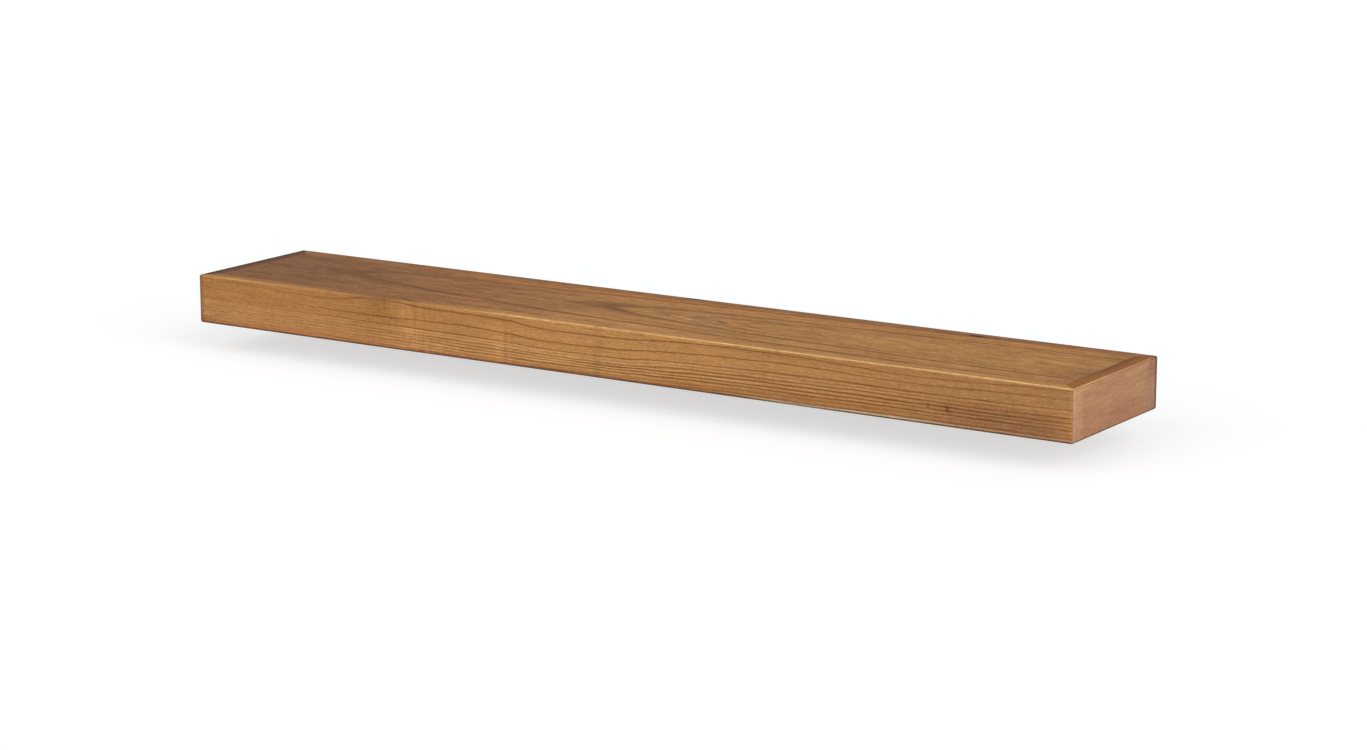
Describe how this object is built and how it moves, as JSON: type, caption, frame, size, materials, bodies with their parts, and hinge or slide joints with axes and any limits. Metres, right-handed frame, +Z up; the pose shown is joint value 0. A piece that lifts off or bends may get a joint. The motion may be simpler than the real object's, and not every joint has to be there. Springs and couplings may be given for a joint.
{
  "type": "floating wall shelf",
  "caption": "Floating wall shelf: a hollow wooden box with a mitred frame round its top panel, which slides onto the rods of a concealed wall bracket and locks from below.",
  "frame": {"origin": "centre of the wall bracket's back face, in the plane of the wall, at the shelf's middle length and middle height", "axes": "+X along the shelf, to the right for someone facing it; +Y into the wall; +Z up; the shelf's front faces -Y"},
  "size_m": [1.524, 0.26, 0.076],
  "materials": {
    "front_wood": "oiled, satin, with the grain along the length",
    "end_wood": "oiled, satin, with the grain from front to back",
    "back_wood": "oiled, satin, with the grain along the length",
    "top_wood": "oiled, satin, with a cathedral figure along the length",
    "core_wood": "bare softwood",
    "hard_wood": "bare hardwood",
    "black_steel": "black powder coat, fine texture",
    "zinc_steel": "zinc plated",
    "brass": "machined"
  },
  "bodies": {
    "wall_bracket": {"wall_plate": "black_steel", "support_rod_1": "black_steel", "support_rod_2": "black_steel", "support_rod_3": "black_steel", "support_rod_4": "black_steel", "support_rod_5": "black_steel", "support_rod_6": "black_steel"},
    "shelf_sleeve": {"front_board": "front_wood", "back_board": "back_wood", "left_end_board": "end_wood", "right_end_board": "end_wood", "top_panel": "top_wood", "bottom_panel": "top_wood", "inner_rail": "hard_wood", "rear_rib_1": "core_wood", "rear_rib_2": "core_wood", "rear_rib_3": "core_wood", "rear_rib_4": "core_wood", "rear_rib_5": "core_wood", "rear_rib_6": "core_wood", "rear_rib_7": "core_wood", "front_rib_1": "core_wood", "front_rib_2": "core_wood", "front_rib_3": "core_wood", "front_rib_4": "core_wood", "front_rib_5": "core_wood", "front_rib_6": "core_wood", "front_rib_7": "core_wood", "corner_block_front_left": "core_wood", "corner_block_front_right": "core_wood", "corner_block_back_left": "core_wood", "corner_block_back_right": "core_wood", "mitre_key_front_left": "hard_wood", "mitre_key_front_right": "hard_wood", "mitre_key_back_left": "hard_wood", "mitre_key_back_right": "hard_wood", "lock_block_left": "hard_wood", "lock_block_right": "hard_wood", "threaded_insert_left": "brass", "threaded_insert_right": "brass"},
    "lock_screw_left": {"lock_screw_left": "zinc_steel"},
    "lock_screw_right": {"lock_screw_right": "zinc_steel"}
  },
  "joints": [
    {"name": "shelf_slide", "type": "slide", "parent": "wall_bracket", "child": "shelf_sleeve", "axis": [0, -1, 0], "range_m": [0, 0.2]},
    {"name": "left_screw_travel", "type": "slide", "parent": "shelf_sleeve", "child": "lock_screw_left", "axis": [0, 0, -1], "range_m": [0, 0.004]},
    {"name": "right_screw_travel", "type": "slide", "parent": "shelf_sleeve", "child": "lock_screw_right", "axis": [0, 0, -1], "range_m": [0, 0.004]}
  ]
}
